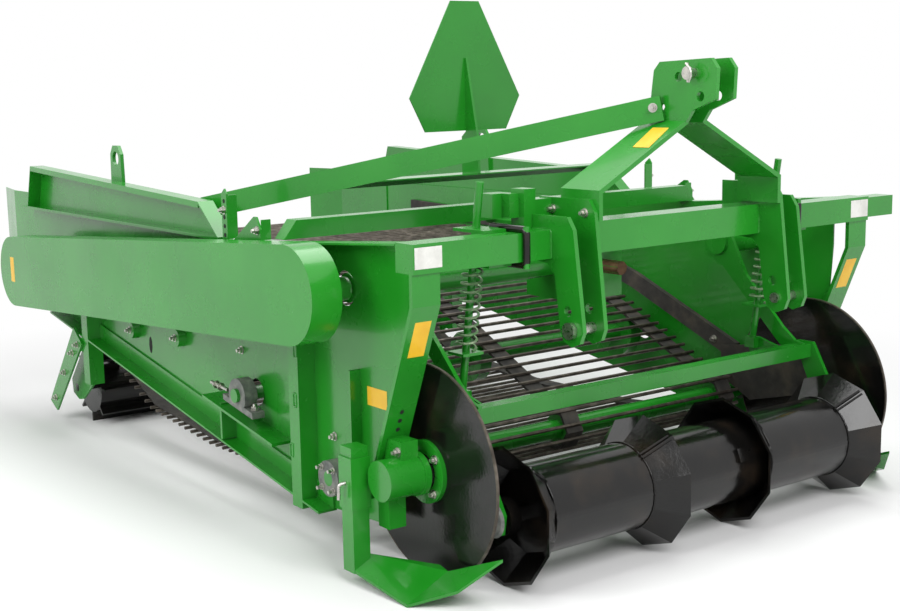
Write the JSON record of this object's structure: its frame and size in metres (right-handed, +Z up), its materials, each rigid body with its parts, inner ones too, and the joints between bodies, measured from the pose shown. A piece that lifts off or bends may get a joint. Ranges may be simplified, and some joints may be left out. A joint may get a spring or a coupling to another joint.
{
  "type": "potato digger",
  "caption": "Mounted potato digger with ridge roller, side discs, elevating rod web and chain drive.",
  "frame": {"origin": "on the ground, half way along and half way across the machine", "axes": "+X forward towards the tractor, +Y to the machine's left, +Z up"},
  "size_m": [3.2088, 1.904, 1.451],
  "materials": {
    "green_paint": "glossy green paint",
    "black_paint": "glossy black paint",
    "steel": "worn bare steel",
    "zinc": "zinc plate",
    "cast_grey": "grey cast iron",
    "black_rubber": "black rubber"
  },
  "bodies": {
    "machine": {"board_strap_left": "green_paint", "board_strap_right": "green_paint", "brace_left": "green_paint", "brace_right": "green_paint", "chain_guard": "green_paint", "cross_tube": "green_paint", "digging_blade": "steel", "front_beam": "green_paint", "front_leg_left": "green_paint", "front_leg_right": "green_paint", "gearbox": "green_paint", "hitch_bracket_left": "green_paint", "hitch_bracket_right": "green_paint", "lower_link_pins": "zinc", "mast_plate_left": "green_paint", "mast_plate_right": "green_paint", "plate_post": "green_paint", "rear_board_left": "green_paint", "rear_board_right": "green_paint", "rear_roller_hangers": "green_paint", "roller_frame": "green_paint", "rubber_strips": "black_rubber", "shaft_bearings": "cast_grey", "shoe_sockets": "green_paint", "side_board_left": "green_paint", "side_board_right": "green_paint", "side_frame_left": "green_paint", "side_frame_right": "green_paint", "side_panel_left": "green_paint", "side_panel_right": "green_paint", "slow_vehicle_plate": "green_paint", "spring_guides": "green_paint", "spring_rods": "green_paint", "springs": "green_paint", "top_link_pin": "zinc", "upright_left": "green_paint", "upright_right": "green_paint", "web_belts": "black_rubber", "web_rods": "steel", "web_shafts": "steel"},
    "ridge_roller": {"ridge_roller": "black_paint"},
    "disc_right": {"disc_right": "black_paint"},
    "disc_left": {"disc_left": "black_paint"},
    "rear_roller": {"rear_roller": "black_paint"},
    "share_shoe_right": {"share_shoe_right": "green_paint"},
    "share_shoe_left": {"share_shoe_left": "green_paint"}
  },
  "joints": [
    {"name": "ridge_roller_spin", "type": "hinge", "parent": "machine", "child": "ridge_roller", "pos_m": [1.438, 0, 0.175], "axis": [0, 1, 0], "continuous": true},
    {"name": "disc_right_spin", "type": "hinge", "parent": "machine", "child": "disc_right", "pos_m": [1.277, -0.72, 0.272], "axis": [0, 1, 0], "continuous": true},
    {"name": "disc_left_spin", "type": "hinge", "parent": "machine", "child": "disc_left", "pos_m": [1.277, 0.72, 0.272], "axis": [0, 1, 0], "continuous": true},
    {"name": "rear_roller_spin", "type": "hinge", "parent": "machine", "child": "rear_roller", "pos_m": [-0.812, 0, 0.135], "axis": [0, 1, 0], "continuous": true},
    {"name": "share_shoe_right_height", "type": "slide", "parent": "machine", "child": "share_shoe_right", "axis": [0, 0, 1], "range_m": [0, 0.06]},
    {"name": "share_shoe_left_height", "type": "slide", "parent": "machine", "child": "share_shoe_left", "axis": [0, 0, 1], "range_m": [0, 0.06]}
  ]
}
